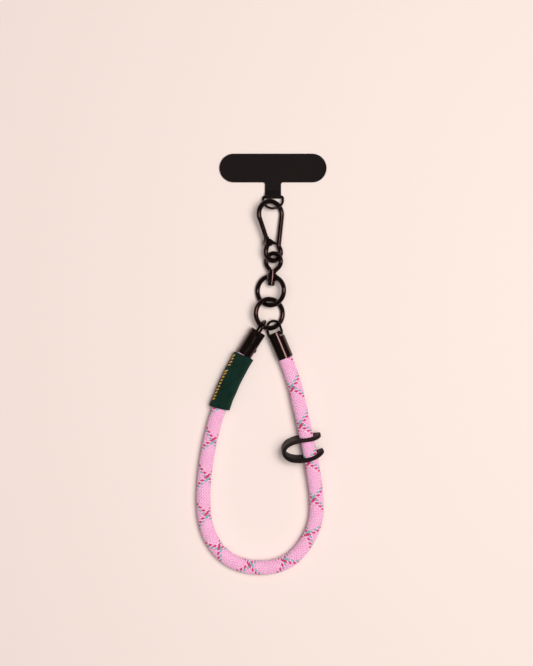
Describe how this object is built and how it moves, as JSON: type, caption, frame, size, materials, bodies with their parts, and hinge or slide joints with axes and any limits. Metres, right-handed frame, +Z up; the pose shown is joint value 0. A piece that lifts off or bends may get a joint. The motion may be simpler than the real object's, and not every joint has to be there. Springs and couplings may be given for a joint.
{
  "type": "phone wrist strap",
  "caption": "Braided rope wrist strap with metal cord ends, linked rings, a swivel carabiner and a T-shaped tether patch that sits between a phone and its case.",
  "frame": {"origin": "centre of the patch's underside, the face that lies on a phone or a table", "axes": "+Y from the patch away from the rope loop, +X to the right across the patch, +Z up off the surface"},
  "size_m": [0.073, 0.2356, 0.0127],
  "materials": {
    "patch_skin": "fine matte grain",
    "patch_core": "woven reinforcement",
    "patch_adhesive": "matte",
    "black_metal": "glossy black plating",
    "spring_steel": "satin",
    "screw_steel": "satin black",
    "rope_braid": "braided polyester",
    "rope_core": "twisted fibre",
    "label_weave": "woven with gold thread",
    "keeper_leather": "matte leather"
  },
  "bodies": {
    "patch": {"patch_face": "patch_skin", "patch_core": "patch_core", "patch_backing": "patch_adhesive"},
    "d_ring": {"d_ring": "black_metal"},
    "carabiner": {"carabiner_body": "black_metal", "gate_pin": "black_metal", "gate_spring": "spring_steel"},
    "gate": {"carabiner_gate": "black_metal"},
    "swivel_eye": {"swivel_eye": "black_metal"},
    "swivel_ring": {"swivel_ring": "black_metal"},
    "o_ring": {"o_ring": "black_metal"},
    "strap": {"cap_left": "black_metal", "cap_right": "black_metal", "cap_screw_left": "screw_steel", "cap_screw_right": "screw_steel", "rope_sheath": "rope_braid", "rope_core": "rope_core", "label_sleeve": "label_weave"},
    "bail_left": {"bail_left": "black_metal"},
    "bail_right": {"bail_right": "black_metal"},
    "keeper": {"keeper_strap": "keeper_leather"}
  },
  "joints": [
    {"name": "d_ring_hinge", "type": "hinge", "parent": "patch", "child": "d_ring", "pos_m": [0, -0.016, 0.00125], "axis": [1, 0, 0], "range_deg": [-70, 70]},
    {"name": "carabiner_swing", "type": "hinge", "parent": "d_ring", "child": "carabiner", "pos_m": [-0.0041, -0.0196, 0.006], "axis": [0.8704, -0.2055, -0.4473], "range_deg": [-30, 35]},
    {"name": "gate_hinge", "type": "hinge", "parent": "carabiner", "child": "gate", "pos_m": [-0.00291, -0.04209, 0.00625], "axis": [0.4683, 0.0336, 0.8829], "range_deg": [-38, 0], "stiffness_Nm_per_rad": 0.004, "springref_deg": 6.88},
    {"name": "eye_swing", "type": "hinge", "parent": "carabiner", "child": "swivel_eye", "pos_m": [0.00053, -0.04929, 0.0048], "axis": [0.9021, -0.0869, 0.4226], "range_deg": [-22, 38]},
    {"name": "swivel_spin", "type": "hinge", "parent": "swivel_eye", "child": "swivel_ring", "pos_m": [-0.00057, -0.06074, 0.0048], "axis": [0.0958, 0.9954, 0], "continuous": true},
    {"name": "o_ring_swing", "type": "hinge", "parent": "swivel_ring", "child": "o_ring", "pos_m": [-0.0021, -0.0742, 0.0046], "axis": [0.9205, 0, -0.3907], "range_deg": [-30, 60]},
    {"name": "strap_swing", "type": "hinge", "parent": "o_ring", "child": "strap", "pos_m": [-0.0021, -0.0884, 0.0046], "axis": [0.9205, 0, -0.3907], "range_deg": [-16, 28]},
    {"name": "bail_right_hinge", "type": "hinge", "parent": "strap", "child": "bail_right", "pos_m": [0.00164, -0.09359, 0.00475], "axis": [0.8682, 0.3596, 0.342], "range_deg": [-2, 2]},
    {"name": "bail_left_hinge", "type": "hinge", "parent": "strap", "child": "bail_left", "pos_m": [-0.00889, -0.09267, 0.00475], "axis": [0.1763, -0.1102, 0.9781], "range_deg": [-7, 4]},
    {"name": "keeper_slide", "type": "slide", "parent": "strap", "child": "keeper", "axis": [-0.1977, 0.9803, 0], "range_m": [-0.003, 0.003]}
  ]
}
